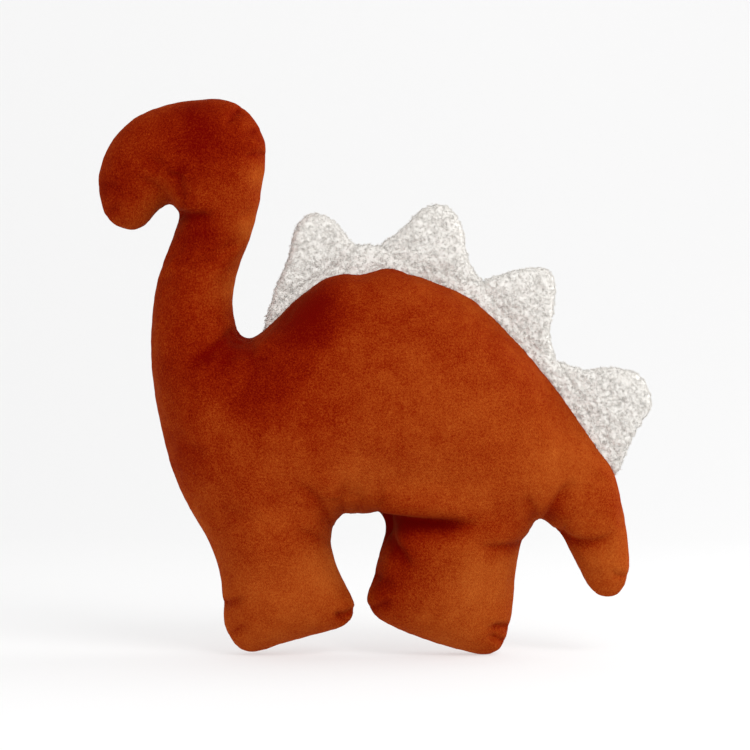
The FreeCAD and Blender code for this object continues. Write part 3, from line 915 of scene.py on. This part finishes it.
def velvet_material():
    """Short-pile knit velvet: fine slanting ribs, and painted sheen and shade that make it redder or
    brighter in places, from the nap and the creases.
    """
    m = Nodes("rust_velvet")
    plain = m.coords()
    painted_sheen_and_shade = m.add("ShaderNodeAttribute", attribute_name="painted_sheen_and_shade")
    cloud = m.noise(plain, 26, 4)
    patch = m.noise(plain, 95, 4, 0.6)
    grain = m.noise(plain, 900, 3, 0.7)
    # Painted sheen and shade: the attribute makes the base colour brighter where the nap catches the light,
    # and darker where it faces away and in the creases.
    tone = m.math("MULTIPLY_ADD", painted_sheen_and_shade.outputs["Fac"], 0.62, 0.475)
    tone = m.math("MULTIPLY_ADD", m.math("SUBTRACT", cloud, 0.5), 0.55, tone)
    tone = m.math("MULTIPLY_ADD", m.math("SUBTRACT", patch, 0.5), 0.34, tone)
    tone = m.math("MULTIPLY_ADD", m.math("SUBTRACT", grain, 0.5), 1.35, tone)
    color = m.ramp(tone, ((0.0, (0.125, 0.0008, 0.0001)), (0.30, (0.212, 0.0115, 0.0006)),
                          (0.60, (0.310, 0.043, 0.0042)), (1.0, (0.43, 0.092, 0.0120))))
    slant = m.coords(turn=(0, math.radians(38), 0))
    ribs = m.add("ShaderNodeTexWave", wave_type="BANDS", bands_direction="X")
    ribs.inputs["Scale"].default_value = 262
    ribs.inputs["Distortion"].default_value = 2.2
    ribs.inputs["Detail"].default_value = 2
    ribs.inputs["Detail Scale"].default_value = 1.6
    m.link(slant, ribs.inputs["Vector"])
    weave = m.bump(ribs.outputs["Fac"], 0.45, 0.00026)
    nubs = m.bump(grain, 0.35, 0.0005, weave)
    waves = m.bump(patch, 0.25, 0.0016, nubs)
    m.set(Base_Color=color, Roughness=0.86, Normal=waves)
    m.shader.inputs["Specular IOR Level"].default_value = 0.01
    m.shader.inputs["Sheen Weight"].default_value = 0.14
    m.shader.inputs["Sheen Roughness"].default_value = 0.42
    m.shader.inputs["Sheen Tint"].default_value = (1.0, 0.28, 0.06, 1)
    return m.material


def sherpa_material():
    """Cream curly pile: its colour varies at random from warmer, darker cream to bright cream."""
    m = Nodes("cream_sherpa")
    plain = m.coords()
    spotty_tone = m.noise(plain, 420, 3, 0.6)
    cloud = m.noise(plain, 48, 3)
    tone = m.math("MULTIPLY_ADD", m.math("SUBTRACT", cloud, 0.5), 0.5, spotty_tone)
    color = m.ramp(tone, ((0.15, (0.74, 0.70, 0.66)), (0.45, (0.79, 0.765, 0.725)),
                          (0.80, (0.84, 0.82, 0.785))))
    fine = m.noise(plain, 1500, 2)
    m.set(Base_Color=color, Roughness=0.92, Normal=m.bump(fine, 0.5, 0.0005))
    m.shader.inputs["Specular IOR Level"].default_value = 0.1
    m.shader.inputs["Sheen Weight"].default_value = 0.25
    m.shader.inputs["Sheen Roughness"].default_value = 0.6
    m.shader.inputs["Sheen Tint"].default_value = (1, 0.96, 0.92, 1)
    return m.material


def fibre_material():
    """White polyester fibre filling."""
    m = Nodes("white_fibre")
    plain = m.coords(scale=(1, 1, 0.3))
    strands = m.noise(plain, 600, 5, 0.7)
    color = m.ramp(strands, ((0.3, (0.72, 0.72, 0.71)), (0.7, (0.88, 0.88, 0.87))))
    m.set(Base_Color=color, Roughness=0.95, Normal=m.bump(strands, 0.6, 0.001))
    return m.material


def thread_material():
    """Rust sewing thread with its twist."""
    m = Nodes("rust_thread")
    twist = m.add("ShaderNodeTexWave", wave_type="BANDS", bands_direction="DIAGONAL")
    twist.inputs["Scale"].default_value = 700
    m.link(m.coords(), twist.inputs["Vector"])
    color = m.ramp(twist.outputs["Fac"], ((0.2, (0.16, 0.012, 0.002)), (0.8, (0.30, 0.035, 0.006))))
    m.set(Base_Color=color, Roughness=0.6, Normal=m.bump(twist.outputs["Fac"], 0.5, 0.0001))
    return m.material


# ---- the closing stitches ----------------------------------------------------------------------

STITCH_XS = (-18, -14, -10, -6, -2)
STITCH_HALF, STITCH_RADIUS, STITCH_SIDES = 0.0026, 0.00024, 8
# How far along the seam a stitch runs for each metre across it, and how deep its ends go in.
STITCH_SLANT, STITCH_END = 250, 0.0008


def make_stitches(body, thread):
    """Five small ladder stitches across the belly seam, each one a bent thread."""
    tree = bvhtree.BVHTree.FromPolygons([tuple(p) for p in read_points(body.data)],
                                        faces_of(body.data))
    points, faces = [], []
    sides = STITCH_SIDES
    for x in STITCH_XS:
        path = []
        for y in np.linspace(-STITCH_HALF, STITCH_HALF, 9):
            place = tree.ray_cast(Vector(((x + y * STITCH_SLANT) * MM, y, 0.06)), Vector((0, 0, 1)))[0]
            path.append(np.array((place.x, place.y, place.z - STITCH_RADIUS * 0.6)))
        path[0][2] += STITCH_END
        path[-1][2] += STITCH_END
        base = len(points)
        for i, p in enumerate(path):
            ahead = path[min(i + 1, len(path) - 1)] - path[max(i - 1, 0)]
            ahead /= np.linalg.norm(ahead)
            side = np.cross(ahead, (1, 0, 0))
            side /= np.linalg.norm(side)
            other = np.cross(ahead, side)
            for s in range(sides):
                a = 2 * math.pi * s / sides
                points.append(p + (side * math.cos(a) + other * math.sin(a)) * STITCH_RADIUS)
        for i in range(len(path) - 1):
            for s in range(sides):
                a, b = base + i * sides + s, base + i * sides + (s + 1) % sides
                faces.append((a, b, b + sides, a + sides))
        faces.append(tuple(base + s for s in reversed(range(sides))))
        faces.append(tuple(base + (len(path) - 1) * sides + s for s in range(sides)))
    piece = add_object("closing_thread", mesh_from("closing_thread", points, faces))
    shade_smooth(piece.data)
    piece.data.materials.append(thread)
    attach(piece, "torso")
    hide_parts("closing_stitches")


# ---- floor, light and camera -------------------------------------------------------------------

VIEW_WIDTH = 0.5415
VIEW_CENTER = (0.00054, 0.2011)
CAMERA_DISTANCE = 1.9
FLOOR_REACH, FLOOR_BACK, FLOOR_BELOW = 6, 1.2, 0.0005
WALL_CURVE, WALL_TOP = 0.8, 3.2


def make_stage():
    """A pale floor that curves up into a backdrop."""
    profile = [(-FLOOR_REACH, 0.0), (FLOOR_BACK, 0.0)]
    profile += [(FLOOR_BACK + WALL_CURVE * math.sin(a), WALL_CURVE - WALL_CURVE * math.cos(a))
                for a in np.linspace(0.1, math.pi / 2, 14)]
    profile += [(FLOOR_BACK + WALL_CURVE, WALL_TOP)]
    points = [(x, y, z - FLOOR_BELOW) for y, z in profile for x in (-FLOOR_REACH, FLOOR_REACH)]
    faces = [(i, i + 1, i + 3, i + 2) for i in range(0, len(points) - 2, 2)]
    floor = add_object("floor", mesh_from("floor", points, faces))
    shade_smooth(floor.data)
    m = Nodes("pale_floor")
    m.set(Base_Color=(0.40, 0.40, 0.40, 1), Roughness=0.9)
    m.shader.inputs["Emission Color"].default_value = (1, 1, 1, 1)
    m.shader.inputs["Emission Strength"].default_value = 0.525
    floor.data.materials.append(m.material)


def make_lights():
    world = bpy.data.worlds.new("studio")
    bpy.context.scene.world = world
    world.use_nodes = True
    world.node_tree.nodes["Background"].inputs["Color"].default_value = (1, 1, 1, 1)
    world.node_tree.nodes["Background"].inputs["Strength"].default_value = 0.62
    for name, place, target, size, power in (
        ("key", (0.9, -1.5, 1.5), (0, 0, 0.2), 1.2, 26),
        ("fill", (-1.6, -1.3, 0.7), (0, 0, 0.2), 1.6, 7),
        ("rim", (1.5, 0.5, 0.7), (0, 0, 0.15), 1.0, 12),
    ):
        light = bpy.data.lights.new(name, "AREA")
        light.size = size
        light.energy = power
        lamp = bpy.data.objects.new(name, light)
        bpy.context.scene.collection.objects.link(lamp)
        lamp.location = place
        lamp.rotation_euler = (Vector(target) - Vector(place)).to_track_quat("-Z", "Y").to_euler()


def make_camera():
    data = bpy.data.cameras.new("camera")
    data.sensor_width = 36
    data.lens = 36 * CAMERA_DISTANCE / VIEW_WIDTH
    camera = bpy.data.objects.new("camera", data)
    bpy.context.scene.collection.objects.link(camera)
    camera.location = (VIEW_CENTER[0], -CAMERA_DISTANCE, VIEW_CENTER[1])
    camera.rotation_euler = (math.pi / 2, 0, 0)
    bpy.context.scene.camera = camera


bpy.context.scene.view_settings.view_transform = "Standard"
make_camera()
make_stage()
make_lights()
fibre = fibre_material()
form = make_body()
make_panels(form, velvet_material(), fibre)
make_stitches(form, thread_material())
bpy.data.objects.remove(form)
make_sherpa(sherpa_material(), fibre)
